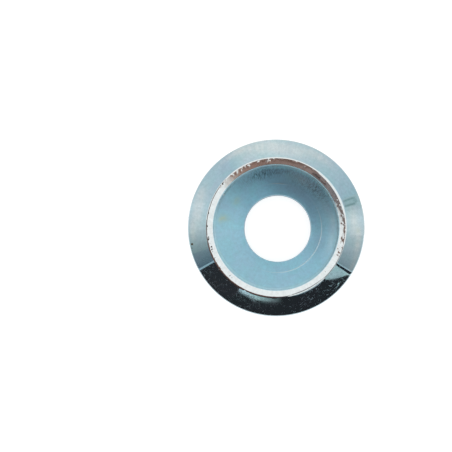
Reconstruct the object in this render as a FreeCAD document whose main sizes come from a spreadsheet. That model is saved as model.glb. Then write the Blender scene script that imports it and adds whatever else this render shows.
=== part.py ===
import FreeCAD, Part
import os
import Sketcher

# Cup washer turned from bar for an M8 countersunk screw.
# The washer lies on its flat base with the mouth of the cup up. The origin
# is the centre of the base and +Z is the turning axis.

# Driving sizes in millimetres and degrees.
SIZES = {
    "screw_diameter": 8.0,
    "bore_clearance": 1.0,
    "bore_wall": 1.9,
    "mouth_diameter": 15.8,
    "cup_angle": 90.0,
    "rim_width": 1.05,
    "outer_diameter": 23.5,
    "band_height": 2.95,
    "ridge_height": 1.8,
    "upper_pass_draft": 1.5,
    "lower_pass_draft": 1.2,
    "base_rounding": 0.9,
    "shoulder_rounding": 0.7,
    "rim_rounding": 0.2,
    "mouth_rounding": 0.4,
    "bore_edge_rounding": 0.2,
    "base_bore_chamfer": 0.25,
}

# Sizes worked out from the driving ones, as spreadsheet expressions.
BORE_RADIUS = "(Sizes.screw_diameter + Sizes.bore_clearance) / 2"
MOUTH_RADIUS = "Sizes.mouth_diameter / 2"
OUTER_RADIUS = "Sizes.outer_diameter / 2"
UPPER_PASS = "(Sizes.band_height - Sizes.ridge_height)"
SHOULDER_RADIUS = OUTER_RADIUS + " - " + UPPER_PASS + " * tan(Sizes.upper_pass_draft * 1 deg)"
BASE_RADIUS = OUTER_RADIUS + " - Sizes.ridge_height * tan(Sizes.lower_pass_draft * 1 deg)"
CUP_DEPTH = "(" + MOUTH_RADIUS + " - " + BORE_RADIUS + ") / tan(Sizes.cup_angle / 2 * 1 deg)"
HEIGHT = "Sizes.bore_wall + " + CUP_DEPTH

# Points of the half section, in order round it, with rough places that the
# sketch's constraints then move.
ROUGH_POINTS = {
    "base_inner": (4, 0),
    "base_outer": (11, 0),
    "ridge": (12, 2),
    "shoulder": (11, 3),
    "rim_outer": (9, 5),
    "rim_inner": (8, 5),
    "cup_foot": (4, 2),
}

TOLERANCE = 1e-4


def make_sheet(doc):
    """Return the spreadsheet that holds the driving sizes."""
    sheet = doc.addObject("Spreadsheet::Sheet", "Sizes")
    for row, (alias, value) in enumerate(SIZES.items(), start=1):
        cell = "A" + str(row)
        sheet.set(cell, str(value))
        sheet.setAlias(cell, alias)
    doc.recompute()
    return sheet


def origin_feature(body, role):
    """Return the plane or axis of the body's own origin that has this role."""
    return next(part for part in body.Origin.OriginFeatures if part.Role == role)


def bind(sketch, constraint, expression):
    """Add a constraint to the sketch and drive it by an expression."""
    index = sketch.addConstraint(constraint)
    sketch.setExpression("Constraints[" + str(index) + "]", expression)


def place_point(sketch, line, across=None, up=None):
    """Drive the start point of a line by its radius, its height or both."""
    if across:
        bind(sketch, Sketcher.Constraint("DistanceX", -1, 1, line, 1, 1.0), across)
    if up:
        bind(sketch, Sketcher.Constraint("DistanceY", -1, 1, line, 1, 1.0), up)


def draw_half_section(body):
    """Draw the turned section on one side of the axis."""
    sketch = body.newObject("Sketcher::SketchObject", "HalfSection")
    sketch.AttachmentSupport = [(origin_feature(body, "XZ_Plane"), "")]
    sketch.MapMode = "FlatFace"

    corners = [FreeCAD.Vector(x, y, 0) for x, y in ROUGH_POINTS.values()]
    line_from = {}
    for index, name in enumerate(ROUGH_POINTS):
        following = corners[(index + 1) % len(corners)]
        line_from[name] = sketch.addGeometry(Part.LineSegment(corners[index], following))
    lines = list(line_from.values())
    for line, following in zip(lines, lines[1:] + lines[:1]):
        sketch.addConstraint(Sketcher.Constraint("Coincident", line, 2, following, 1))

    sketch.addConstraint(Sketcher.Constraint("Horizontal", line_from["base_inner"]))
    sketch.addConstraint(Sketcher.Constraint("Horizontal", line_from["rim_outer"]))
    sketch.addConstraint(Sketcher.Constraint("Vertical", line_from["cup_foot"]))
    sketch.addConstraint(Sketcher.Constraint("PointOnObject", line_from["base_inner"], 1, -1))

    place_point(sketch, line_from["base_inner"], across=BORE_RADIUS)
    place_point(sketch, line_from["base_outer"], across=BASE_RADIUS)
    place_point(sketch, line_from["ridge"], across=OUTER_RADIUS, up="Sizes.ridge_height")
    place_point(sketch, line_from["shoulder"], across=SHOULDER_RADIUS, up="Sizes.band_height")
    place_point(sketch, line_from["rim_outer"], across=MOUTH_RADIUS + " + Sizes.rim_width")
    place_point(sketch, line_from["rim_inner"], across=MOUTH_RADIUS, up=HEIGHT)
    place_point(sketch, line_from["cup_foot"], up="Sizes.bore_wall")
    return sketch


def turn_section(body, sketch):
    """Turn the half section into the solid ring."""
    ring = body.newObject("PartDesign::Revolution", "TurnedRing")
    ring.Profile = sketch
    ring.ReferenceAxis = (sketch, ["V_Axis"])
    ring.Angle = 360.0
    sketch.Visibility = False
    return ring


def section_point(sketch, name):
    """Return the radius and height of a named corner of the half section."""
    index = list(ROUGH_POINTS).index(name)
    corner = sketch.getPoint(index, 1)
    return corner.x, corner.y


def circle_at(shape, radius, height):
    """Return the name of the circular edge with this radius and height."""
    for number, edge in enumerate(shape.Edges, start=1):
        curve = edge.Curve
        if not isinstance(curve, Part.Circle):
            continue
        if abs(curve.Radius - radius) < TOLERANCE and abs(curve.Center.z - height) < TOLERANCE:
            return "Edge" + str(number)
    raise RuntimeError("no circular edge of radius %.3f at height %.3f" % (radius, height))


def dress_edge(body, sketch, kind, name, corner, size_property, alias):
    """Round or chamfer one named corner of the section, all round the ring."""
    body.Document.recompute()
    base = body.Tip
    edge = circle_at(base.Shape, *section_point(sketch, corner))
    feature = body.newObject(kind, name)
    feature.Base = (base, [edge])
    feature.setExpression(size_property, "Sizes." + alias)
    return feature


def build_cup_washer(doc):
    """Build the washer as a body that is turned and then dressed."""
    body = doc.addObject("PartDesign::Body", "CupWasher")
    body.Label = "cup_washer"
    sketch = draw_half_section(body)
    turn_section(body, sketch)

    rounding = "PartDesign::Fillet"
    dress_edge(body, sketch, rounding, "BaseRounding", "base_outer", "Radius", "base_rounding")
    dress_edge(body, sketch, rounding, "ShoulderRounding", "shoulder", "Radius", "shoulder_rounding")
    dress_edge(body, sketch, rounding, "RimRounding", "rim_outer", "Radius", "rim_rounding")
    dress_edge(body, sketch, rounding, "MouthRounding", "rim_inner", "Radius", "mouth_rounding")
    dress_edge(body, sketch, rounding, "BoreEdgeRounding", "cup_foot", "Radius", "bore_edge_rounding")
    chamfer = "PartDesign::Chamfer"
    dress_edge(body, sketch, chamfer, "BaseBoreChamfer", "base_inner", "Size", "base_bore_chamfer")
    doc.recompute()
    return body


def check_document(doc, parts):
    """Stop if any object failed or any part has no valid solid."""
    for item in doc.Objects:
        if "Invalid" in item.State or "Error" in item.State:
            raise RuntimeError(item.Label + " failed: " + str(item.State))
    for part in parts:
        if part.Shape.isNull() or not part.Shape.isValid():
            raise RuntimeError(part.Label + " has no valid shape")
        if len(part.Shape.Solids) != 1:
            raise RuntimeError(part.Label + " is not one solid")


def main():
    """Build the washer and write it as a STEP file."""
    doc = FreeCAD.newDocument("CupWasherModel")
    make_sheet(doc)
    parts = [build_cup_washer(doc)]
    check_document(doc, parts)
    os.makedirs("parts", exist_ok=True)
    for part in parts:
        part.Shape.exportStep("parts/" + part.Label + ".step")
        box = part.Shape.optimalBoundingBox()
        print("%s: %.3f x %.3f x %.3f mm, volume %.2f mm3" % (
            part.Label, box.XLength, box.YLength, box.ZLength, part.Shape.Volume))


main()
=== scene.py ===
"""Looks of a cup washer, turned from steel bar and zinc plated.

The washer lies on its base with the mouth of its cup up. Its centre is the
origin of the frame and +Z is its turning axis. Lengths in the classes are in
millimetres and angles in degrees, and a mesh is scaled to metres as it is made.
"""

import logging
import math
from dataclasses import dataclass
from enum import Enum

import bpy
import numpy as np
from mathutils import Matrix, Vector


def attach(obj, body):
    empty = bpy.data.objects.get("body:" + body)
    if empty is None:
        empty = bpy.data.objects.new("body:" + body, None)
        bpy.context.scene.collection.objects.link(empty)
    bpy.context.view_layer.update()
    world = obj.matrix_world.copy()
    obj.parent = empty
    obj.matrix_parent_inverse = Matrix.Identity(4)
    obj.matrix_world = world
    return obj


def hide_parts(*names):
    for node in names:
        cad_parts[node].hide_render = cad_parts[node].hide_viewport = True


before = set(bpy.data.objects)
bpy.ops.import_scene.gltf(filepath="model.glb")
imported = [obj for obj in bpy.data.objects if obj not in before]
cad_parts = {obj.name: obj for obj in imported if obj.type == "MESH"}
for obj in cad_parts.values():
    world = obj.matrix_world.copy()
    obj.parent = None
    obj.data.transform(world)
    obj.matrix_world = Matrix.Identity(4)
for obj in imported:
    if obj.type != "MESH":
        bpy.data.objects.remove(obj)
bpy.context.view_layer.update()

MM = 0.001
LOG = logging.getLogger("cup_washer")
Socket = bpy.types.NodeSocket
Pair = tuple[float, float]

# Layers that the mesh stores at its points and its finish reads by name: the
# places on the washer and how whitened they are, partly wear and partly a painted
# highlight, and the spots of the film, some of them a painted dark reflection.
PLACES = ("in_cup", "in_bore", "on_land", "rubbed_and_highlight", "line", "handled")
SPOTS = ("straw", "rust", "thin", "grainy_dark_reflection", "inner_dark_reflection", "matt")


def linear(hex_colour: str) -> tuple[float, float, float, float]:
    """Turn an sRGB colour into Blender's linear one.

    Each channel c of 0 to 1 becomes c / 12.92 up to 0.04045, and
    ((c + 0.055) / 1.055) ** 2.4 above it.

    Args:
        hex_colour: Six hex digits after a hash sign.

    Returns:
        Red, green, blue and an alpha of 1.
    """
    channels = [int(hex_colour[start:start + 2], 16) / 255 for start in (1, 3, 5)]
    red, green, blue = (
        c / 12.92 if c <= 0.04045 else ((c + 0.055) / 1.055) ** 2.4 for c in channels
    )
    return red, green, blue, 1.0


def add_node(tree: bpy.types.NodeTree, kind: str, inputs: dict | None = None, **settings) -> bpy.types.Node:
    """Add a node with its settings, and set or link its inputs.

    Args:
        tree: The node tree that gets the node.
        kind: The node's type name.
        inputs: Input name or number to a value, or to the output socket that feeds it.
        settings: Properties of the node itself.

    Returns:
        The new node.
    """
    node = tree.nodes.new(kind)
    for name, value in settings.items():
        setattr(node, name, value)
    for name, value in (inputs or {}).items():
        if isinstance(value, Socket):
            tree.links.new(value, node.inputs[name])
        else:
            node.inputs[name].default_value = value
    return node


def new_material(name: str) -> tuple[bpy.types.Material, bpy.types.NodeTree]:
    """Make a material without nodes.

    Args:
        name: The material's name.

    Returns:
        The material and its node tree.
    """
    material = bpy.data.materials.new(name)
    material.use_nodes = True
    material.node_tree.nodes.clear()
    return material, material.node_tree


def swing(angle: np.ndarray, middle: float) -> np.ndarray:
    """Return how far angles lie from a middle given in degrees: in radians, the short way round."""
    return np.angle(np.exp(1j * (angle - math.radians(middle))))


def grid_faces(rows: int, columns: int, rows_close: bool, columns_close: bool) -> np.ndarray:
    """Number the four-sided faces of a grid of points.

    Point (i, j) has the number i * columns + j. Face (i, j) joins points
    (i, j), (i + 1, j), (i + 1, j + 1) and (i, j + 1), and where a direction
    closes, the last row or column joins the first again.

    Args:
        rows: How many rows of points there are.
        columns: How many points a row has.
        rows_close: Whether the last row meets the first.
        columns_close: Whether the last column meets the first.

    Returns:
        An array of faces by four point numbers.
    """
    i = np.arange(rows if rows_close else rows - 1)[:, None]
    j = np.arange(columns if columns_close else columns - 1)[None, :]
    i_next, j_next = (i + 1) % rows, (j + 1) % columns
    corners = (i * columns + j, i_next * columns + j, i_next * columns + j_next, i * columns + j_next)
    return np.stack(corners, axis=-1).reshape(-1, 4)


def mesh_object(name: str, points: np.ndarray, faces: np.ndarray) -> bpy.types.Object:
    """Make a smooth object from points in millimetres and four-sided faces.

    Args:
        name: The object's name.
        points: An array of points by three.
        faces: An array of faces by four point numbers.

    Returns:
        The object, at the origin, unturned and unscaled.
    """
    mesh = bpy.data.meshes.new(name)
    mesh.vertices.add(len(points))
    mesh.vertices.foreach_set("co", (points * MM).astype(np.float32).ravel())
    mesh.loops.add(faces.size)
    mesh.loops.foreach_set("vertex_index", faces.astype(np.int32).ravel())
    mesh.polygons.add(len(faces))
    mesh.polygons.foreach_set("loop_start", np.arange(0, faces.size, 4, dtype=np.int32))
    mesh.polygons.foreach_set("use_smooth", np.ones(len(faces), dtype=bool))
    mesh.update(calc_edges=True)
    mesh.validate()
    piece = bpy.data.objects.new(name, mesh)
    bpy.context.scene.collection.objects.link(piece)
    return piece


class Corner(Enum):
    """Corners of the turned section, in order round it."""

    BASE_BORE = 0
    BASE = 1
    RIDGE = 2
    SHOULDER = 3
    RIM = 4
    MOUTH = 5
    BORE = 6


@dataclass(frozen=True)
class Knock:
    """One dent, placed from a corner of the section.

    Its centre lies at an angle round the axis and at an offset along the
    section from the corner: below zero towards the corner before, and above
    it towards the next. Length is half its reach round the axis and width
    half its reach along the section. A depth under zero stands proud. Its
    slant is how far it leans round the axis for each step along the section.
    """

    corner: Corner
    angle: float
    offset: float
    length: float
    width: float
    depth: float
    slant: float = 0.0


@dataclass(frozen=True)
class Tumbling:
    """Small knocks round one corner, which the parts gave each other in the plating barrel.

    Sizes are times the length and the width, and shallow is the shape of the
    depths' beta distribution, whose mean is well under a half.
    """

    corner: Corner
    count: int
    spread: float
    length: float
    width: float
    depth: float
    span: Pair = (0.0, 360.0)
    middle: float = 0.0
    sizes: Pair = (0.5, 1.6)
    shallow: Pair = (1.5, 4.0)
    slants: Pair = (-1.5, 1.5)

    def knocks(self, rng: np.random.Generator) -> list[Knock]:
        """Scatter the knocks: even in angle, normal across the corner, and more shallow than deep.

        Args:
            rng: The source of the random numbers.

        Returns:
            The knocks.
        """
        angle = rng.uniform(*self.span, self.count)
        offset = rng.normal(self.middle, self.spread, self.count)
        size = rng.uniform(*self.sizes, (self.count, 2))
        depth = self.depth * rng.beta(*self.shallow, self.count)
        slant = rng.uniform(*self.slants, self.count)
        return [
            Knock(self.corner, a, o, self.length * s[0], self.width * s[1], d, k)
            for a, o, s, d, k in zip(angle, offset, size, depth, slant)
        ]


@dataclass(frozen=True)
class Stretch:
    """A stretch round the axis, with a middle and a reach in degrees and what it adds at its middle.

    Its power is 4 for a plateau and 2 for a bell.
    """

    middle: float
    reach: float
    amount: float
    power: int = 4

    def at(self, angle: np.ndarray) -> np.ndarray:
        """Return amount * exp(-(a / reach) ** power), a being the angle from the middle."""
        return self.amount * np.exp(-(np.degrees(swing(angle, self.middle)) / self.reach) ** self.power)


@dataclass(frozen=True)
class Flat:
    """A worn flat on one corner.

    Over a stretch round the axis, the corner is rubbed down to a cone whose
    normal leans away from the axis by the tilt. Depth is how far below the
    sharp corner the cone lies at the middle of the stretch. The flat ends
    where that falls to least_depth. Least_slope keeps a face that is steep to
    the cone from sinking too far.
    """

    corner: Corner
    angle: float
    reach: float
    tilt: float
    depth: float
    least_depth: float = 0.001
    least_slope: float = 0.4

    def cut(
        self, angle: np.ndarray, section: np.ndarray, normal: np.ndarray, corner: np.ndarray
    ) -> np.ndarray:
        """Work out how much of each point is rubbed away.

        With m the cone's normal, a point stands (point - corner) . m +
        depth * exp(-(a / reach) ** 4) over the cone, a being its angle from
        the middle, and where that is above 0 it sinks along its own normal n
        by that over n . m.

        Args:
            angle: Angles round the axis.
            section: Points of the section.
            normal: Their outward normals.
            corner: The sharp corner.

        Returns:
            An array of angles by points.
        """
        lean = math.radians(self.tilt)
        across = np.array([math.sin(lean), math.cos(lean)])
        level = Stretch(self.angle, self.reach, self.depth).at(angle)
        over = ((section - corner) @ across)[None, :] + level[:, None]
        over = np.clip(over, 0, None) * (level > self.least_depth)[:, None]
        return over / np.clip(normal @ across, self.least_slope, None)[None, :]


@dataclass(frozen=True)
class Stain:
    """A small spot: its angle and radius from the axis, its half sizes, its amount and its lowest height."""

    angle: float
    radius: float
    round_way: float
    out_way: float
    amount: float = 1.0
    lowest: float = 1.0

    def strength(self, points: np.ndarray) -> np.ndarray:
        """Work out how much of the spot lies on each point.

        That is amount * exp(-(u / round_way) ** 2 - (v / out_way) ** 2), with
        u round the axis and v out from it.

        Args:
            points: An array of points by three.

        Returns:
            A number for each point.
        """
        u = swing(np.arctan2(points[:, 1], points[:, 0]), self.angle) * self.radius / self.round_way
        v = (np.hypot(points[:, 0], points[:, 1]) - self.radius) / self.out_way
        return self.amount * np.exp(-u ** 2 - v ** 2) * (points[:, 2] > self.lowest)


@dataclass
class CupWasher:
    """The washer: a section turned about the axis, with the marks of making and handling.

    A step is the aim for the distance between rows of points. The witness is
    the fine line that the boring tool left in the cup.
    """

    bore_radius: float = 4.5
    bore_wall: float = 1.9
    mouth_radius: float = 7.9
    cup_half_angle: float = 45.0
    rim_width: float = 1.05
    outer_radius: float = 11.75
    band_height: float = 2.95
    ridge_height: float = 1.8
    upper_pass_draft: float = 1.5
    lower_pass_draft: float = 1.2
    base_rounding: float = 0.9
    shoulder_rounding: float = 0.7
    rim_rounding: float = 0.2
    mouth_rounding: float = 0.4
    bore_rounding: float = 0.2
    bore_chamfer: float = 0.25
    ridge_rounding: float = 0.05
    turns: int = 600
    side_step: float = 0.14
    base_step: float = 0.9
    arc_step: float = 0.075
    least_arc_radius: float = 0.1
    least_arc_steps: int = 3
    least_side_steps: int = 2
    end_share: float = 0.2
    knock_reach: float = 3.0
    bore_runout: Pair = (0.19, -0.05)
    chatter_height: float = 0.006
    chatter_waves: tuple[int, ...] = (2, 3, 5, 8, 13, 21, 34, 55, 89, 144)
    chatter_twist: Pair = (-0.8, 0.8)
    witness_radius: float = 5.86
    witness_height: float = 0.016
    witness_width: float = 0.037
    witness_rows: int = 7
    witness_rows_reach: float = 2.4
    witness_clearance: float = 0.02
    witness_least: float = 0.08
    witness_left: tuple[Stretch, ...] = (Stretch(325.0, 60.0, 0.92), Stretch(88.0, 10.0, 0.85, power=2))
    handled_least: float = 0.06
    handled_most: tuple[Stretch, ...] = (Stretch(262.0, 62.0, 1.16), Stretch(267.0, 26.0, -0.66, power=2))
    # whitening near the outer edges: partly rubbed film, partly a painted highlight
    edge_wear_and_highlight_reach: float = 0.12
    edge_wear_and_highlight_share: float = 0.6
    bare_depth: float = 0.03
    seed: int = 23

    def height(self) -> float:
        """Return the height: the bore's wall, and the cup's depth above it."""
        depth = (self.mouth_radius - self.bore_radius) / math.tan(math.radians(self.cup_half_angle))
        return self.bore_wall + depth

    def corners(self) -> tuple[np.ndarray, np.ndarray]:
        """Work out the section's corners and their roundings.

        Returns:
            An array of corners by radius and height, anticlockwise, and each corner's rounding.
        """
        upper_pass = self.band_height - self.ridge_height
        shoulder = self.outer_radius - upper_pass * math.tan(math.radians(self.upper_pass_draft))
        base = self.outer_radius - self.ridge_height * math.tan(math.radians(self.lower_pass_draft))
        points = {
            Corner.BASE_BORE: (self.bore_radius, 0.0),
            Corner.BASE: (base, 0.0),
            Corner.RIDGE: (self.outer_radius, self.ridge_height),
            Corner.SHOULDER: (shoulder, self.band_height),
            Corner.RIM: (self.mouth_radius + self.rim_width, self.height()),
            Corner.MOUTH: (self.mouth_radius, self.height()),
            Corner.BORE: (self.bore_radius, self.bore_wall),
        }
        roundings = {
            Corner.BASE_BORE: self.bore_chamfer,
            Corner.BASE: self.base_rounding,
            Corner.RIDGE: self.ridge_rounding,
            Corner.SHOULDER: self.shoulder_rounding,
            Corner.RIM: self.rim_rounding,
            Corner.MOUTH: self.mouth_rounding,
            Corner.BORE: self.bore_rounding,
        }
        return np.array([points[c] for c in Corner]), np.array([roundings[c] for c in Corner])

    def side_places(self, side: Corner, start: float, stop: float) -> np.ndarray:
        """Divide one side between its arcs: evenly, close to each end once more, and finely at the witness.

        Args:
            side: The corner that the side starts at.
            start: Where the arc before it ends, from that corner.
            stop: Where the next arc starts.

        Returns:
            The places of its points, from that corner.
        """
        step = self.base_step if side is Corner.BASE_BORE else self.side_step
        steps = max(self.least_side_steps, math.ceil((stop - start) / step))
        inner = np.linspace(start, stop, steps + 1)[1:-1]
        support = self.end_share * (inner[0] - start)
        place = np.concatenate([[start + support], inner, [stop - support]])
        if side is Corner.MOUTH:
            ring = (self.mouth_radius - self.witness_radius) / math.sin(math.radians(self.cup_half_angle))
            reach = self.witness_rows_reach
            near = ring + self.witness_width * np.linspace(-reach, reach, self.witness_rows)
            place = place[np.abs(place - ring) > near[-1] - ring + self.witness_clearance]
            place = np.sort(np.concatenate([place, near]))
        return place

    def section(self) -> tuple[np.ndarray, np.ndarray, np.ndarray]:
        """Work out the closed outline that is turned.

        A corner of turn t and rounding r gets an arc of radius r, which
        starts r * tan(t / 2) before the corner and ends as far behind it. Its
        points lie at centre + r * (cos a, sin a), with a going from the
        outward normal of one side to that of the next.

        Returns:
            Arrays of the points by radius and height, of their outward
            normals, and of the corner that each point's side or arc starts at.
        """
        corner, rounding = self.corners()
        side = np.roll(corner, -1, axis=0) - corner
        length = np.linalg.norm(side, axis=1)
        along = side / length[:, None]
        outward = np.stack([along[:, 1], -along[:, 0]], axis=1)
        turn = np.arccos(np.clip((along * np.roll(along, 1, axis=0)).sum(axis=1), -1, 1))
        setback = rounding * np.tan(turn / 2)
        points, normals, owner = [], [], []
        for now in range(len(corner)):
            before, after = now - 1, (now + 1) % len(corner)
            centre = corner[now] - along[before] * setback[now] - outward[before] * rounding[now]
            arc = turn[now] * max(rounding[now], self.least_arc_radius)
            steps = max(self.least_arc_steps, math.ceil(arc / self.arc_step))
            angle = math.atan2(*outward[before][::-1]) + turn[now] * np.linspace(0, 1, steps + 1)
            ray = np.stack([np.cos(angle), np.sin(angle)], axis=1)
            points.append(centre + rounding[now] * ray)
            normals.append(ray)

            place = self.side_places(Corner(now), setback[now], length[now] - setback[after])
            points.append(corner[now] + along[now] * place[:, None])
            normals.append(np.repeat(outward[now][None, :], len(place), axis=0))
            owner.append(np.full(len(ray) + len(place), now))
        return np.concatenate(points), np.concatenate(normals), np.concatenate(owner)

    def build(self) -> bpy.types.Object:
        """Turn the section: point (i, j) is (r_j cos a_i, r_j sin a_i, z_j), moved along its normal.

        The bore ran out a little when it was drilled, so inside the mouth the
        section moves sideways, by the more the nearer it is to the bore.

        Returns:
            The washer, with the layers that its finish reads.
        """
        section, normal, owner = self.section()
        angle = np.arange(self.turns) * 2 * np.pi / self.turns
        rng = np.random.default_rng(self.seed)
        knocked = self.knocked(angle, section, rng)
        witness = self.witness(angle, section, owner)
        corner, _ = self.corners()
        worn = [flat.cut(angle, section, normal, corner[flat.corner.value]) for flat in self.flats()]
        lift = self.chatter(angle, section, rng) + witness - knocked - np.max(worn, axis=0)
        radius = section[None, :, 0] + lift * normal[None, :, 0]
        height = section[None, :, 1] + lift * normal[None, :, 1]
        inward = (self.mouth_radius - section[:, 0]) / (self.mouth_radius - self.bore_radius)
        runout = np.clip(inward, 0, 1)[None, :]
        points = np.stack([
            radius * np.cos(angle)[:, None] + self.bore_runout[0] * runout,
            radius * np.sin(angle)[:, None] + self.bore_runout[1] * runout,
            height,
        ], axis=-1).reshape(-1, 3)
        faces = grid_faces(self.turns, len(section), rows_close=True, columns_close=True)
        LOG.info("section of %d points, %d triangles", len(section), 2 * len(faces))
        piece = mesh_object("cup_washer_plated", points, faces)

        down_bore = (owner == Corner.BORE.value) & (section[:, 1] < self.bore_wall - self.bore_rounding)
        in_cup = (owner >= Corner.MOUTH.value) & ~down_bore
        on_land = owner == Corner.RIM.value
        layers = (
            *(np.tile(part, self.turns) for part in (in_cup, down_bore, on_land)),
            self.rubbed_and_highlight(section, knocked), witness / self.witness_height, self.handled(points),
        )
        for name, values in zip(PLACES, layers):
            self.add_layer(piece, name, values)
        stains = self.stains()
        for name in SPOTS:
            spots = [stain.strength(points) for stain in stains[name]]
            self.add_layer(piece, name, np.clip(np.sum(spots, axis=0), 0, 1))
        return piece

    @staticmethod
    def add_layer(piece: bpy.types.Object, name: str, values: np.ndarray) -> None:
        """Store one number for each point of the mesh, which the finish reads by name."""
        layer = piece.data.attributes.new(name, "FLOAT", "POINT")
        layer.data.foreach_set("value", values.astype(np.float32).ravel())

    def handled(self, points: np.ndarray) -> np.ndarray:
        """Return how scuffed each point is: a little all round, and more in its stretches."""
        angle = np.arctan2(points[:, 1], points[:, 0])
        return self.handled_least + sum(stretch.at(angle) for stretch in self.handled_most)

    @staticmethod
    def path_length(section: np.ndarray) -> np.ndarray:
        """Return how far along the outline each of its points lies."""
        steps = np.linalg.norm(np.diff(section, axis=0), axis=1)
        return np.concatenate([[0.0], np.cumsum(steps)])

    def corner_places(self, section: np.ndarray) -> np.ndarray:
        """Find the corners along the outline.

        Args:
            section: Points of the section.

        Returns:
            How far along it its point nearest to each corner lies.
        """
        corner, _ = self.corners()
        gap = np.linalg.norm(section[None, :, :] - corner[:, None, :], axis=2)
        return self.path_length(section)[gap.argmin(axis=1)]

    def chatter(self, angle: np.ndarray, section: np.ndarray, rng: np.random.Generator) -> np.ndarray:
        """Work out the slow unevenness round the axis.

        It is a sum of waves height / k * cos(k a + phase + twist * r), with k
        the waves in a turn.

        Args:
            angle: Angles round the axis.
            section: Points of the section.
            rng: The source of the random numbers.

        Returns:
            An array of angles by points.
        """
        waves = np.array(self.chatter_waves)
        size = self.chatter_height / waves
        phase = rng.uniform(0, 2 * np.pi, len(waves))
        twist = rng.uniform(*self.chatter_twist, len(waves))
        place = waves[:, None, None] * angle[None, :, None]
        place = place + phase[:, None, None] + twist[:, None, None] * section[None, None, :, 0]
        return (size[:, None, None] * np.cos(place)).sum(axis=0)

    def witness(self, angle: np.ndarray, section: np.ndarray, owner: np.ndarray) -> np.ndarray:
        """Work out the fine line that the boring tool left round the cup.

        It stands height * exp(-((r - witness radius) / width) ** 2) proud of
        the cone, and all but a little of it was wiped off by the next pass,
        save in the stretches where it is left.

        Args:
            angle: Angles round the axis.
            section: Points of the section.
            owner: The corner that each point's side or arc starts at.

        Returns:
            An array of angles by points.
        """
        across = np.exp(-((section[:, 0] - self.witness_radius) / self.witness_width) ** 2)
        left = self.witness_least + sum(stretch.at(angle) for stretch in self.witness_left)
        return self.witness_height * left[:, None] * (across * (owner == Corner.MOUTH.value))[None, :]

    def marks(self, rng: np.random.Generator) -> list[Knock]:
        """List the knocks: those that the photograph shows, and the barrel's small ones.

        Args:
            rng: The source of the random numbers. One group has a source of its own.

        Returns:
            The knocks.
        """
        seen = {
            Corner.RIM: (
                (97.5, 0.30, 0.07, 0.26, 0.030, 0.55),
                (95.5, 0.46, 0.05, 0.16, 0.022, 0.8),
                (92.0, 0.20, 0.08, 0.07, 0.022, -0.4),
                (101.0, -0.12, 0.10, 0.07, 0.020, 0.6),
                (105.0, 0.12, 0.12, 0.06, 0.020, -0.7),
                (114.0, 0.30, 0.12, 0.07, 0.024, 0.9),
                (117.5, 0.14, 0.06, 0.10, 0.020, 0.7),
                (122.0, 0.36, 0.10, 0.07, 0.022, 0.5),
                (126.0, 0.24, 0.12, 0.08, 0.024, 1.0),
                (64.8, 0.50, 0.05, 0.24, 0.012, 0.4),
                (225.5, 0.30, 0.10, 0.11, 0.040, 0.4),
                (224.0, 0.42, 0.07, 0.07, 0.034),
                (228.0, 0.28, 0.09, 0.09, 0.036),
                (226.5, 0.72, 0.06, 0.08, 0.030, 0.5),
                (245.5, 0.42, 0.10, 0.06, 0.034, 0.3),
                (273.0, 0.22, 0.06, 0.05, 0.022),
                (318.5, 0.40, 0.07, 0.06, 0.022),
            ),
            Corner.MOUTH: (
                (90.0, 0.06, 0.04, 0.07, 0.024),
                (148.0, -0.05, 0.10, 0.10, 0.030),
            ),
            Corner.SHOULDER: (
                (318.0, 1.10, 0.07, 0.09, 0.020, 0.5),
                (308.0, 0.70, 0.10, 0.05, 0.018, -0.6),
                (222.5, 1.60, 0.07, 0.06, 0.020),
                (101.0, 2.70, 0.10, 0.07, 0.014, 0.5),
            ),
        }
        barrel = (
            Tumbling(Corner.RIM, 90, 0.05, 0.12, 0.07, 0.018),
            Tumbling(Corner.RIM, 90, 0.12, 0.05, 0.05, 0.012, (-25.0, 42.0), 0.30),
            Tumbling(Corner.RIM, 34, 0.07, 0.08, 0.07, 0.024, (84.0, 132.0), 0.04),
            Tumbling(Corner.RIM, 50, 0.06, 0.08, 0.07, 0.038, (186.0, 232.0), 0.08),
            Tumbling(Corner.RIM, 30, 0.25, 0.05, 0.05, 0.005, (150.0, 330.0), 0.55),
            Tumbling(Corner.MOUTH, 50, 0.10, 0.08, 0.06, 0.014),
            Tumbling(Corner.SHOULDER, 110, 0.16, 0.11, 0.09, 0.006),
            Tumbling(Corner.BASE, 110, 0.30, 0.11, 0.12, 0.018),
            Tumbling(Corner.BORE, 16, 0.06, 0.09, 0.06, 0.010),
        )
        marks = [Knock(corner, *row) for corner, rows in seen.items() for row in rows]
        for group in barrel:
            marks += group.knocks(rng)
        pitted = Tumbling(Corner.RIM, 60, 0.13, 0.05, 0.05, 0.014, (16.0, 50.0), 0.34)
        return marks + pitted.knocks(np.random.default_rng(self.seed + 1))

    @staticmethod
    def flats() -> list[Flat]:
        """List the worn flats on the rim's outer corner, as the photograph shows them.

        Returns:
            The flats.
        """
        return [
            Flat(Corner.RIM, 32.0, 27.0, 22.0, 0.042),
            Flat(Corner.RIM, 297.0, 17.0, 24.0, 0.058),
            Flat(Corner.RIM, 207.0, 20.0, 28.0, 0.026),
            Flat(Corner.RIM, 258.0, 16.0, 26.0, 0.022),
        ]

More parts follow.
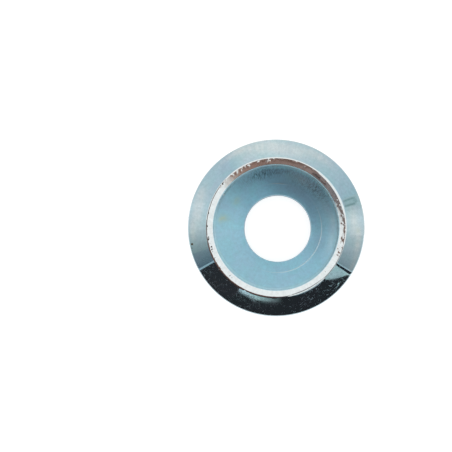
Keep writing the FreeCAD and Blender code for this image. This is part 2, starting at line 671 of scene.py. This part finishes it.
    @staticmethod
    def stains() -> dict[str, list[Stain]]:
        """List the spots: straw-coloured and matt film in the cup, grainy and smooth patches in the cup
        darkened as a painted dark reflection, paler patches, and rust.

        Returns:
            The spots of each layer.
        """
        spots = {
            "straw": (
                (146.0, 6.25, 0.55, 0.38, 0.55),
                (169.5, 6.85, 0.42, 0.60, 0.80),
                (173.0, 7.25, 0.40, 0.30, 0.50),
                (358.0, 10.70, 0.35, 0.30, 0.80),
            ),
            "rust": (
                (191.0, 11.27, 0.16, 0.20),
                (193.5, 11.42, 0.09, 0.12),
            ),
            # paler patches on the flank and in the cup
            "thin": (
                (22.0, 6.90, 2.00, 0.70, 0.35),
                (60.0, 7.00, 2.20, 0.60, 0.40),
                (348.0, 7.35, 1.90, 0.45, 0.50),
                (8.0, 7.40, 1.20, 0.35, 0.35),
                (168.0, 10.30, 2.30, 0.75),
                (158.0, 10.90, 1.80, 0.60),
                (182.0, 10.95, 1.60, 0.40),
                (99.0, 10.70, 2.40, 0.85),
                (80.0, 10.20, 3.00, 1.00),
                (60.0, 10.90, 2.20, 0.60),
                (120.0, 11.20, 2.60, 0.45),
                (4.0, 10.10, 1.90, 0.65),
                (350.0, 10.90, 1.80, 0.50),
                (333.0, 11.20, 1.50, 0.35),
            ),
            # grainy darker patches in the cup: partly grainy film, partly a painted dark reflection
            "grainy_dark_reflection": (
                (42.0, 7.15, 1.90, 0.65),
                (60.0, 6.70, 1.80, 0.90, 0.55),
                (106.0, 7.15, 2.00, 0.60),
                (84.0, 7.30, 2.40, 0.40, 0.45),
            ),
            # smooth darker patches in the inner cup: a painted dark reflection
            "inner_dark_reflection": (
                (40.0, 5.60, 2.60, 1.10, 0.90),
                (74.0, 5.60, 2.20, 0.90, 0.80),
                (343.0, 6.00, 2.00, 1.00, 0.80),
            ),
            "matt": (
                (20.0, 7.74, 5.00, 0.20, 0.60),
                (75.0, 7.74, 5.00, 0.20),
                (68.2, 7.96, 0.13, 0.10),
                (71.2, 7.90, 0.07, 0.07),
            ),
        }
        return {layer: [Stain(*row) for row in rows] for layer, rows in spots.items()}

    def knocked(self, angle: np.ndarray, section: np.ndarray, rng: np.random.Generator) -> np.ndarray:
        """Work out how deep the knocks go at each point.

        A knock is depth * exp(-((u - slant * v) / length) ** 2) *
        exp(-(v / width) ** 2), with u the way round from its centre at the
        corner's radius and v the way along the section. It ends where v is
        its width times the knocks' reach.

        Args:
            angle: Angles round the axis.
            section: Points of the section.
            rng: The source of the random numbers.

        Returns:
            An array of angles by points.
        """
        corner, _ = self.corners()
        path, places = self.path_length(section), self.corner_places(section)
        deep = np.zeros((len(angle), len(section)))
        for mark in self.marks(rng):
            u = swing(angle, mark.angle) * corner[mark.corner.value, 0]
            v = path - places[mark.corner.value] - mark.offset
            near = np.abs(v) < self.knock_reach * mark.width
            lean = (u[:, None] - mark.slant * v[None, near]) / mark.length
            deep[:, near] += mark.depth * np.exp(-lean ** 2 - (v[None, near] / mark.width) ** 2)
        return deep

    def rubbed_and_highlight(self, section: np.ndarray, knocked: np.ndarray) -> np.ndarray:
        """Work out how far the colour is whitened: in knocks, where the film is rubbed off, and near outer
        edges, partly rubbed film and partly a painted highlight.

        Args:
            section: Points of the section.
            knocked: How deep the knocks go, by angles and points.

        Returns:
            An array of angles by points, from 0 to 1.
        """
        places = self.corner_places(section)[[Corner.BASE.value, Corner.SHOULDER.value, Corner.RIM.value]]
        gap = np.abs(self.path_length(section)[:, None] - places[None, :]).min(axis=1)
        # outer edges whitened: partly rubbed film, partly a painted highlight
        edge = np.exp(-(gap / self.edge_wear_and_highlight_reach) ** 2)
        return np.clip(self.edge_wear_and_highlight_share * edge[None, :] + knocked / self.bare_depth, 0, 1)


@dataclass(frozen=True)
class Grain:
    """A noise that is the same in all directions: its size in millimetres, and how it is broken up."""

    name: str
    size: float
    detail: float
    roughness: float = 0.6
    distortion: float = 0.0


@dataclass(frozen=True)
class TurnedGrain:
    """A noise drawn out round the axis or away from it: its two sizes in millimetres, and its detail."""

    name: str
    round_size: float
    out_size: float
    detail: float
    roughness: float = 0.6


@dataclass(frozen=True)
class Span:
    """The part of a source in which something comes on, from its least to its most, evenly or softly.

    The reach from the axis is a source in metres. The others run from 0 to 1.
    """

    name: str
    source: str
    start: float
    stop: float
    least: float = 0.0
    most: float = 1.0
    soft: bool = False


@dataclass(frozen=True)
class ZincPlate:
    """Bright zinc with a blue passivate: a thin clear film that tints the white metal blue.

    The film is thin, so its tint drifts between cyan and lilac over a couple
    of millimetres, and is deepest where the bath drained over the mouth's edge.
    Down the bore it is darker: partly the plating throwing poorly there, and
    partly a painted shade for the shadowed floor that the bore reflects. It is
    whitened on the land, the outer edges and the witness line: partly film
    rubbed off, and partly a painted highlight. It is paler in places on the
    flank and in the cup, and patches in the cup are darkened as a painted dark
    reflection. The cup is the rougher cut, and its fine turned grooves spread
    a reflection up and down the cone but not round it. The flank is nearly a
    mirror, hazy here and there. Scratches are drawn wider than real ones, so
    that they show.
    """

    flank_film: str = "#C3E0EA"
    cup_film: str = "#BAE8F6"
    mouth_film: str = "#B2DDED"
    edge_film: str = "#ACD4E1"
    # darker film down the bore: partly poor plating, partly a painted shade
    bore_film_and_shade: str = "#7FA3B4"
    # darker colours of the cup's patches: a painted dark reflection
    grainy_dark_reflection_film: str = "#58727E"
    inner_dark_reflection_film: str = "#A8CADC"
    matt_film: str = "#B2EAFA"
    cyan_drift: str = "#F8FFFE"
    lilac_drift: str = "#FFFCFF"
    # colour of the paler patches on the flank and in the cup
    pale_patch_film: str = "#E2EDF0"
    straw: str = "#C2D4BE"
    rust: str = "#6A6148"
    # whitened colour: partly bare zinc where the film is rubbed off, partly a painted highlight
    bare_and_highlight: str = "#E6EDEE"
    cup_roughness: float = 0.36
    land_roughness: float = 0.035
    matt_roughness: float = 0.66
    line_roughness: float = 0.26
    scuff_roughness: float = 0.52
    rust_roughness: float = 0.6
    groove_spread: float = 0.65
    groove_turn: float = 0.25
    grains: tuple[Grain, ...] = (
        Grain("drift", 2.4, 3.0, 0.55, 0.4),
        Grain("mottle", 0.45, 4.0, 0.65),
        Grain("dimple", 0.24, 3.0),
        Grain("crowd", 1.3, 2.0),
    )
    turned_grains: tuple[TurnedGrain, ...] = (
        TurnedGrain("pit", 0.10, 0.30, 2.0),
        TurnedGrain("streak", 0.42, 1.6, 3.0),
        TurnedGrain("lathe", 2.6, 0.10, 2.0),
    )
    middle_radius: float = 9.0
    streak_share: float = 0.3
    spans: tuple[Span, ...] = (
        Span("turn", "drift", 0.38, 0.62, soft=True),
        Span("haze", "drift", 0.45, 0.70, 0.022, 0.044),
        Span("cloud", "mottle", 0.25, 0.65, soft=True),
        Span("fleck", "mottle", 0.70, 0.80, soft=True),
        Span("speck", "ragged", 0.16, 0.30, soft=True),
        Span("crowded", "crowd", 0.35, 0.65, 0.45, 1.00),
        Span("pits", "pit", 0.42, 0.64, 0.0, 0.9),
        Span("threads", "streak", 0.30, 0.70, 0.50, 0.85),
        Span("shade", "uneven", 0.30, 0.70, 0.88, 1.06),
        Span("to_mouth", "reach", 5.0 * MM, 7.60 * MM),
        Span("to_edge", "reach", 7.60 * MM, 7.82 * MM, soft=True),
        Span("past_mouth", "reach", 8.09 * MM, 8.17 * MM, soft=True),
    )
    scratch_ways: tuple[float, ...] = (12.0, 68.0, 131.0)
    scratch_width: float = 0.055
    scratch_length: float = 0.75
    scratch_peak: Pair = (0.71, 0.81)
    scuff_span: Pair = (0.08, 0.62)
    skin_height: float = 0.004
    skin_streaks: float = 0.15
    flank_skin: float = 0.09
    cup_skin: float = 1.0
    land_skin: float = 0.02

    def read(self, tree: bpy.types.NodeTree) -> dict[str, Socket]:
        """Read what the finish depends on at a point of the washer.

        A turned grain is read at the unit ray times a middle radius over its
        size round the axis, plus the distance from the axis over its size
        outwards.

        Args:
            tree: The material's node tree.

        Returns:
            By name: the place in the piece's own coordinates, the reach from
            the axis in metres, the layers of the mesh, the grains, and the
            spans that are made from them.
        """
        place = add_node(tree, "ShaderNodeTexCoord").outputs["Object"]
        parts = add_node(tree, "ShaderNodeSeparateXYZ", {"Vector": place}).outputs
        flat = add_node(tree, "ShaderNodeCombineXYZ", {"X": parts["X"], "Y": parts["Y"]}).outputs[0]
        ray = add_node(tree, "ShaderNodeVectorMath", {0: flat}, operation="NORMALIZE").outputs[0]
        reach = add_node(tree, "ShaderNodeVectorMath", {0: flat}, operation="LENGTH").outputs["Value"]
        at = {"place": place, "reach": reach}
        for name in PLACES + SPOTS:
            at[name] = add_node(tree, "ShaderNodeAttribute", attribute_name=name).outputs["Fac"]
        for grain in self.grains:
            at[grain.name] = add_node(tree, "ShaderNodeTexNoise", {
                "Vector": place, "Scale": 1 / (grain.size * MM), "Detail": grain.detail,
                "Roughness": grain.roughness, "Distortion": grain.distortion,
            }).outputs["Fac"]
        for grain in self.turned_grains:
            round_way = add_node(tree, "ShaderNodeVectorMath", {
                0: ray, "Scale": self.middle_radius / grain.round_size,
            }, operation="SCALE").outputs[0]
            out_way = add_node(tree, "ShaderNodeMath", {
                0: reach, 1: 1 / (grain.out_size * MM),
            }, operation="MULTIPLY").outputs[0]
            lift = add_node(tree, "ShaderNodeCombineXYZ", {"Z": out_way}).outputs[0]
            spot = add_node(tree, "ShaderNodeVectorMath", {0: round_way, 1: lift}, operation="ADD").outputs[0]
            at[grain.name] = add_node(tree, "ShaderNodeTexNoise", {
                "Vector": spot, "Scale": 1.0, "Detail": grain.detail, "Roughness": grain.roughness,
            }).outputs["Fac"]
        # Rust is ragged: it shows only where the mottling lets it.
        at["ragged"] = add_node(tree, "ShaderNodeMath", {
            0: at["rust"], 1: at["mottle"],
        }, operation="MULTIPLY").outputs[0]
        at["uneven"] = add_node(tree, "ShaderNodeMix", {
            0: self.streak_share, 2: at["mottle"], 3: at["streak"],
        }).outputs[0]
        for span in self.spans:
            at[span.name] = add_node(tree, "ShaderNodeMapRange", {
                "Value": at[span.source], "From Min": span.start, "From Max": span.stop,
                "To Min": span.least, "To Max": span.most,
            }, interpolation_type="SMOOTHSTEP" if span.soft else "LINEAR").outputs["Result"]
        return at

    def wear(self, tree: bpy.types.NodeTree, at: dict[str, Socket]) -> None:
        """Work out where the film is stained, worn and scuffed, where it is whitened by a painted highlight
        or darkened by a painted dark reflection, and add that to what was read.

        The scuffs are flecks and fine short scratches, crowded where the
        washer was handled. The scratches run three ways, and are the peaks of
        a noise that is drawn out to their length along each way and drawn in
        to their width across it.

        Args:
            tree: The material's node tree.
            at: What was read, by name.
        """
        width, length = self.scratch_width * MM, self.scratch_length * MM
        at["scuffed"] = at["fleck"]
        for way in self.scratch_ways:
            along = add_node(tree, "ShaderNodeMapping", {
                "Vector": at["place"], "Location": (way * MM, 0, 0), "Rotation": (0, 0, math.radians(way)),
                "Scale": (width, length, length),
            }, vector_type="TEXTURE").outputs[0]
            peaks = add_node(tree, "ShaderNodeTexNoise", {
                "Vector": along, "Scale": 1.0, "Detail": 0.0,
            }).outputs["Fac"]
            scratch = add_node(tree, "ShaderNodeMapRange", {
                "Value": peaks, "From Min": self.scratch_peak[0], "From Max": self.scratch_peak[1],
            }).outputs["Result"]
            at["scuffed"] = add_node(tree, "ShaderNodeMath", {
                0: at["scuffed"], 1: scratch,
            }, operation="MAXIMUM").outputs[0]
        for name, operation, first, second in (
            ("crowded", "MULTIPLY", "crowded", "handled"),
            ("scuffed", "MULTIPLY", "scuffed", "crowded"),
            ("stained", "MULTIPLY", "straw", "cloud"),
            # grainy patches of painted dark reflection, broken up by the pits
            ("pitted", "MULTIPLY", "grainy_dark_reflection", "pits"),
            # paler patches, broken up by the threads
            ("pale_patched", "MULTIPLY", "thin", "threads"),
            # land past the mouth, outer edges and witness line whitened: partly wear, partly a painted
            # highlight
            ("bare_and_highlight_land", "MULTIPLY", "on_land", "past_mouth"),
            ("worn", "MAXIMUM", "rubbed_and_highlight", "bare_and_highlight_land"),
            ("worn", "MAXIMUM", "worn", "line"),
            ("recess", "MAXIMUM", "in_cup", "in_bore"),
        ):
            at[name] = add_node(tree, "ShaderNodeMath", {
                0: at[first], 1: at[second],
            }, operation=operation).outputs[0]
        at["scuff"] = add_node(tree, "ShaderNodeMapRange", {
            "Value": at["scuffed"], "From Min": self.scuff_span[0], "From Max": self.scuff_span[1],
        }).outputs["Result"]

    def film(self, tree: bpy.types.NodeTree, at: dict[str, Socket]) -> Socket:
        """Mix the film's colour: by its place on the washer, times its drift.

        Args:
            tree: The material's node tree.
            at: What was read, by name.

        Returns:
            The colour.
        """
        film = linear(self.cup_film)
        for share, change in (("to_mouth", self.mouth_film), ("to_edge", self.edge_film)):
            film = add_node(tree, "ShaderNodeMix", {
                0: at[share], 6: film, 7: linear(change),
            }, data_type="RGBA").outputs[2]
        film = add_node(tree, "ShaderNodeMix", {
            0: at["in_cup"], 6: linear(self.flank_film), 7: film,
        }, data_type="RGBA").outputs[2]
        # Down the bore the film darkens: partly poor plating, partly a painted shade for the shadowed floor
        # that it reflects.
        film = add_node(tree, "ShaderNodeMix", {
            0: at["in_bore"], 6: film, 7: linear(self.bore_film_and_shade),
        }, data_type="RGBA").outputs[2]
        tint = add_node(tree, "ShaderNodeMix", {
            0: at["turn"], 6: linear(self.cyan_drift), 7: linear(self.lilac_drift),
        }, data_type="RGBA").outputs[2]
        return add_node(tree, "ShaderNodeVectorMath", {0: film, 1: tint}, operation="MULTIPLY").outputs[0]

    def colour(self, tree: bpy.types.NodeTree, at: dict[str, Socket]) -> Socket:
        """Mix the plate's colour: the film with its stains, paler patches, patches darkened as a painted dark
        reflection and whitened places, partly worn and partly a painted highlight, faintly uneven, and rust.

        Args:
            tree: The material's node tree.
            at: What was read, by name.

        Returns:
            The colour.
        """
        colour = self.film(tree, at)
        for share, change in (
            # the smooth and the grainy darker patches in the cup are a painted dark reflection
            ("stained", self.straw), ("inner_dark_reflection", self.inner_dark_reflection_film), ("matt", self.matt_film),
            # the thin layer gives paler patches
            ("pitted", self.grainy_dark_reflection_film), ("pale_patched", self.pale_patch_film), ("on_land", self.edge_film),
            # whitened places: partly bare zinc, partly a painted highlight
            ("worn", self.bare_and_highlight),
        ):
            colour = add_node(tree, "ShaderNodeMix", {
                0: at[share], 6: colour, 7: linear(change),
            }, data_type="RGBA").outputs[2]
        colour = add_node(tree, "ShaderNodeVectorMath", {
            0: colour, "Scale": at["shade"],
        }, operation="SCALE").outputs[0]
        return add_node(tree, "ShaderNodeMix", {
            0: at["speck"], 6: colour, 7: linear(self.rust),
        }, data_type="RGBA").outputs[2]

    def roughness(self, tree: bpy.types.NodeTree, at: dict[str, Socket]) -> Socket:
        """Mix the roughness: bright flank and land, hazy here and there, scuffed, and a duller cup.

        Args:
            tree: The material's node tree.
            at: What was read, by name.

        Returns:
            The roughness.
        """
        rough = at["haze"]
        for share, value in (
            ("scuff", self.scuff_roughness), ("on_land", self.land_roughness), ("recess", self.cup_roughness),
            ("matt", self.matt_roughness), ("line", self.line_roughness), ("speck", self.rust_roughness),
        ):
            rough = add_node(tree, "ShaderNodeMix", {0: at[share], 2: rough, 3: value}).outputs[0]
        return rough

    def skin(self, tree: bpy.types.NodeTree, at: dict[str, Socket]) -> Socket:
        """Raise the skin by a few microns: the barrel's dimples and, on the land, the lathe's lines.

        Args:
            tree: The material's node tree.
            at: What was read, by name.

        Returns:
            The normal.
        """
        skin = add_node(tree, "ShaderNodeMix", {
            0: self.skin_streaks, 2: at["dimple"], 3: at["streak"],
        }).outputs[0]
        skin = add_node(tree, "ShaderNodeMix", {0: at["on_land"], 2: skin, 3: at["lathe"]}).outputs[0]
        depth = add_node(tree, "ShaderNodeMix", {
            0: at["in_cup"], 2: self.flank_skin, 3: self.cup_skin,
        }).outputs[0]
        depth = add_node(tree, "ShaderNodeMix", {0: at["on_land"], 2: depth, 3: self.land_skin}).outputs[0]
        return add_node(tree, "ShaderNodeBump", {
            "Strength": depth, "Distance": self.skin_height * MM, "Height": skin,
        }).outputs["Normal"]

    def material(self) -> bpy.types.Material:
        """Make the plated finish.

        The turned grooves run round the axis, so the longer blur of a
        reflection is turned a quarter off the tangent.

        Returns:
            The material.
        """
        material, tree = new_material("blue_passivated_zinc")
        at = self.read(tree)
        self.wear(tree, at)
        grooved = add_node(tree, "ShaderNodeMath", {
            0: at["in_cup"], 1: self.groove_spread,
        }, operation="MULTIPLY").outputs[0]
        shader = add_node(tree, "ShaderNodeBsdfPrincipled", {
            "Base Color": self.colour(tree, at),
            "Metallic": 1.0,
            "Roughness": self.roughness(tree, at),
            "Anisotropic": grooved,
            "Anisotropic Rotation": self.groove_turn,
            "Tangent": add_node(tree, "ShaderNodeTangent", direction_type="RADIAL", axis="Z").outputs[0],
            "Normal": self.skin(tree, at),
        })
        add_node(tree, "ShaderNodeOutputMaterial", {"Surface": shader.outputs["BSDF"]})
        return material


@dataclass(frozen=True)
class Card:
    """A card of the studio, seen only in the washer's reflections.

    It is part of a sphere round the washer. A card that starts at the table
    also lies on it, from its foot's radius outwards. Its top may slope, from
    the elevation at its first azimuth to the one at its last, and its colour
    may change between them too.
    """

    name: str
    colour: str
    azimuth: Pair
    elevation: Pair
    last_colour: str | None = None
    last_top: float | None = None
    foot: float | None = None
    distance: float = 600.0
    columns: int = 49
    rows: int = 17

    def build(self) -> bpy.types.Object:
        """Build the card.

        Point (u, v) is distance * (cos v cos u, cos v sin u, sin v), with u the
        azimuth and v the elevation above the table. A foot adds a column at
        v = 0 whose distance is the foot's radius.

        Returns:
            The card, hidden from the camera and from the floor's light.
        """
        share = np.linspace(0, 1, self.columns)[:, None]
        across = np.radians(self.azimuth[0] + (self.azimuth[1] - self.azimuth[0]) * share)
        low, high = self.elevation
        top = high + ((high if self.last_top is None else self.last_top) - high) * share
        up = np.radians(low + (top - low) * np.linspace(0, 1, self.rows)[None, :])
        reach = np.full_like(up, self.distance)
        if self.foot is not None:
            up = np.concatenate([np.zeros_like(share), up], axis=1)
            reach = np.concatenate([np.full_like(share, self.foot), reach], axis=1)
        points = np.stack([
            reach * np.cos(up) * np.cos(across),
            reach * np.cos(up) * np.sin(across),
            reach * np.sin(up),
        ], axis=-1)
        faces = grid_faces(*up.shape, rows_close=False, columns_close=False)
        card = mesh_object(self.name, points.reshape(-1, 3), faces)
        layer = card.data.attributes.new("share", "FLOAT", "POINT")
        layer.data.foreach_set("value", np.repeat(share, up.shape[1], axis=1).astype(np.float32).ravel())
        card.data.materials.append(self.material())
        card.visible_camera = False
        card.visible_diffuse = False
        card.visible_shadow = False
        return card

    def material(self) -> bpy.types.Material:
        """Make the card's glow, from its first colour to its last.

        Returns:
            The material.
        """
        material, tree = new_material(self.name)
        share = add_node(tree, "ShaderNodeAttribute", attribute_name="share").outputs["Fac"]
        colour = add_node(tree, "ShaderNodeMix", {
            0: share, 6: linear(self.colour), 7: linear(self.last_colour or self.colour),
        }, data_type="RGBA").outputs[2]
        glow = add_node(tree, "ShaderNodeEmission", {"Color": colour, "Strength": 1.0})
        add_node(tree, "ShaderNodeOutputMaterial", {"Surface": glow.outputs["Emission"]})
        return material


@dataclass
class Studio:
    """A white floor under an even sky, with cards round it."""

    floor_half: float = 900.0
    floor_colour: str = "#BCBCBC"
    seen_glow: float = 0.72
    mirrored_glow: float = 0.50
    floor_drop: float = 0.02
    sky: str = "#FFFFFF"

    def cards(self) -> list[Card]:
        """List the cards, as the washer's reflections show them.

        Returns:
            The cards, those in front of others at a lesser distance.
        """
        low, foot, far_foot = (0.0, 12.0), 12.6, 20.0
        front, foremost = 590.0, 580.0
        black = "#2E2C2E"
        return [
            Card("paper_right", "#DEDDDA", (356.0, 366.0), low, "#EEEDEA", foot=foot),
            Card("paper_right_end", "#EEEDEA", (366.0, 374.5), low, "#DCDDDA", foot=foot),
            Card("paper_right_front", "#989FA1", (331.5, 356.0), low, "#D4D4D2", foot=far_foot),
            Card("paper_posts", "#D3D4D2", (374.5, 384.5), low, "#CACDCD", foot=foot),
            Card("post_one", "#CFD2D1", (377.2, 378.7), (1.00, 2.30), "#95A4A1", distance=front),
            Card("post_one_end", "#95A4A1", (378.7, 380.0), (1.00, 2.30), "#BCC4C3", distance=front),
            Card("post_gap", "#BCC4C3", (380.0, 381.6), (0.92, 2.10), distance=front),
            Card("post_two", "#BCC4C3", (381.6, 382.8), (0.90, 2.30), "#9BA9A6", distance=front),
            Card("post_two_end", "#9BA9A6", (382.8, 384.2), (0.90, 2.30), "#CACDCD", distance=front),
            Card("post_loop", "#A6B2B0", (379.2, 383.2), (0.82, 1.02), distance=foremost),
            Card("paper_blue", "#C4CDD1", (24.5, 48.0), low, "#D5DADB", foot=foot),
            Card("paper_back", "#D5D8D9", (48.0, 95.0), low, "#EEEDEA", foot=foot),
            Card("paper_back_end", "#EEEDEA", (95.0, 115.0), low, "#EAE6E3", foot=foot),
            Card("paper_turn", "#EAE6E3", (115.0, 126.0), low, "#D0D5D9", foot=foot),
            Card("paper_left_back", "#D0D5D9", (126.0, 156.0), low, "#DCDEDF", foot=foot),
            Card("paper_left", "#DCDEDF", (156.0, 163.0), low, "#E9E9EA", foot=foot),
            Card("paper_left_end", "#E9E9EA", (163.0, 180.0), low, "#DADAD8", foot=far_foot),
            Card("grey_card", "#D4D7D4", (180.0, 196.0), low, "#979D9C", foot=far_foot),
            Card("dark_grey_card", "#8E9599", (196.0, 206.6), low, "#66727C", foot=far_foot),
            Card("slit_left", "#B2C0C6", (206.6, 208.0), low, foot=far_foot),
            Card("black_left", "#343234", (208.0, 238.4), low, foot=far_foot),
            Card("brown_sill", "#4E3A34", (213.0, 238.4), (4.1, 6.0), distance=front),
            Card("black_low", black, (238.4, 275.0), (0.0, 3.86), None, 4.10, far_foot, distance=front),
            Card("window", "#EEF6F8", (238.4, 254.0), (3.8, 4.6), "#CDD4CF"),
            Card("window_end", "#CDD4CF", (254.0, 275.0), (3.8, 4.6), black),
            Card("black_over", black, (238.4, 275.0), (4.6, 12.0)),
            Card("black_right", black, (275.0, 314.5), low, foot=far_foot),
            Card("dark_upper", "#62413B", (198.0, 256.0), (12.0, 72.0)),
            Card("dark_upper_far", "#62413B", (256.0, 286.0), (12.0, 74.0), "#3A434E"),
            Card("dark_upper_left", "#C4C2C0", (172.0, 198.0), (12.0, 72.0), "#62413B"),
            Card("dark_upper_right", "#3A434E", (286.0, 326.0), (12.0, 70.0), "#C4CACE"),
            Card("brown_band", "#7A655C", (190.0, 264.0), (22.0, 32.0), distance=front),
            Card("flash", "#F4F4F2", (282.0, 313.0), (29.0, 42.0), distance=front),
            Card("black_slope", black, (314.5, 328.0), (0.0, 4.0), None, 1.9, far_foot, distance=front),
            Card("green_card", "#C2CECB", (314.5, 328.8), low),
            Card("black_edge", "#22262B", (328.8, 330.7), low, foot=far_foot),
            Card("slit_right", "#C6D0D2", (330.7, 331.5), low, foot=far_foot),
            Card("grey_left", "#544E4B", (136.0, 190.0), (44.0, 79.0), distance=front),
            Card("grey_front", "#56656A", (312.0, 346.0), (30.0, 66.0), distance=front),
            Card("brown_right", "#957D73", (344.0, 395.0), (75.0, 82.92), "#756967", 81.84, distance=front),
            Card("grey_right", "#FFFFFF", (370.0, 395.0), (81.0, 84.0), "#C4C8CA"),
            Card("brown_back", "#7F7A7C", (35.0, 66.0), (75.0, 82.8), "#97827C"),
            Card("brown_far", "#97827C", (66.0, 104.0), (75.0, 82.8), "#8F7268"),
            Card("orange_back", "#9A786D", (104.0, 121.0), (75.0, 82.8), "#A88F84"),
            Card("orange_end", "#A88F84", (121.0, 134.0), (75.0, 82.8), "#F4F4F2"),
            Card("dark_slot", "#1C1413", (47.5, 62.0), (81.22, 81.53), last_top=81.45, distance=foremost),
            Card("dark_streak", "#6C544B", (60.0, 118.0), (80.2, 80.95), distance=front),
        ]

    def build(self) -> None:
        """Build the floor, the sky and the cards."""
        self.build_floor()
        self.build_sky()
        for card in self.cards():
            card.build()

    def build_floor(self) -> bpy.types.Object:
        """Lay the floor: a flat sheet just under the washer's base, white to the eye, with its shadow.

        Returns:
            The floor.
        """
        half, drop = self.floor_half, -self.floor_drop
        corners = ((-half, -half), (half, -half), (half, half), (-half, half))
        points = np.array([(x, y, drop) for x, y in corners])
        floor = mesh_object("floor", points, np.array([[0, 1, 2, 3]]))
        material, tree = new_material("white_paper")
        paper = add_node(tree, "ShaderNodeBsdfDiffuse", {"Color": linear(self.floor_colour)})
        path = add_node(tree, "ShaderNodeLightPath").outputs
        mirrored = add_node(tree, "ShaderNodeMath", {
            0: path["Is Glossy Ray"], 1: path["Is Transmission Ray"],
        }, operation="MAXIMUM")
        seen = add_node(tree, "ShaderNodeMath", {
            0: path["Is Camera Ray"], 1: self.seen_glow,
        }, operation="MULTIPLY")
        level = add_node(tree, "ShaderNodeMath", {
            0: mirrored.outputs[0], 1: self.mirrored_glow, 2: seen.outputs[0],
        }, operation="MULTIPLY_ADD")
        glow = add_node(tree, "ShaderNodeEmission", {"Strength": level.outputs[0]})
        both = add_node(tree, "ShaderNodeAddShader", {0: paper.outputs["BSDF"], 1: glow.outputs["Emission"]})
        add_node(tree, "ShaderNodeOutputMaterial", {"Surface": both.outputs["Shader"]})
        floor.data.materials.append(material)
        return floor

    def build_sky(self) -> None:
        """Make the sky one even white."""
        world = bpy.data.worlds.new("even_sky")
        world.use_nodes = True
        tree = world.node_tree
        tree.nodes.clear()
        sky = add_node(tree, "ShaderNodeBackground", {"Color": linear(self.sky), "Strength": 1.0})
        add_node(tree, "ShaderNodeOutputWorld", {"Surface": sky.outputs["Background"]})
        bpy.context.scene.world = world


@dataclass
class ViewPoint:
    """The camera: straight above the cup, shifted so that the washer lies where the photograph has it."""

    stand: tuple[float, float, float] = (0.0, -2.0, 79.3)
    washer_height: float = 1.8
    frame_pixels: float = 452.0
    washer_pixel: Pair = (276.2, 228.1)
    focal_pixels: float = 577.8
    sensor: float = 36.0
    clip_metres: Pair = (0.001, 3.0)

    def build(self) -> bpy.types.Object:
        """Place the camera, looking down -Z with +Y up.

        Unshifted, the washer's centre would be seen at the middle of the
        frame less the camera's own place times focal length over distance.
        The shift is what is left to the washer's pixel, over the frame.

        Returns:
            The camera.
        """
        data = bpy.data.cameras.new("camera")
        data.sensor_width = self.sensor
        data.lens = self.sensor * self.focal_pixels / self.frame_pixels
        data.clip_start, data.clip_end = self.clip_metres
        scale = self.focal_pixels / (self.stand[2] - self.washer_height)
        middle = self.frame_pixels / 2
        data.shift_x = (middle - self.stand[0] * scale - self.washer_pixel[0]) / self.frame_pixels
        data.shift_y = (self.washer_pixel[1] - middle - self.stand[1] * scale) / self.frame_pixels
        camera = bpy.data.objects.new("camera", data)
        camera.location = Vector(self.stand) * MM
        bpy.context.scene.collection.objects.link(camera)
        bpy.context.scene.camera = camera
        return camera


def main() -> None:
    """Build the camera, the washer and the studio."""
    logging.basicConfig(level=logging.INFO, format="%(name)s: %(message)s")
    bpy.context.scene.view_settings.view_transform = "Standard"
    ViewPoint().build()

    washer = CupWasher().build()
    washer.data.materials.append(ZincPlate().material())
    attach(washer, "root")
    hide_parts("cup_washer")
    LOG.info("washer: %d points", len(washer.data.vertices))

    Studio().build()


if __name__ == "__main__":
    main()
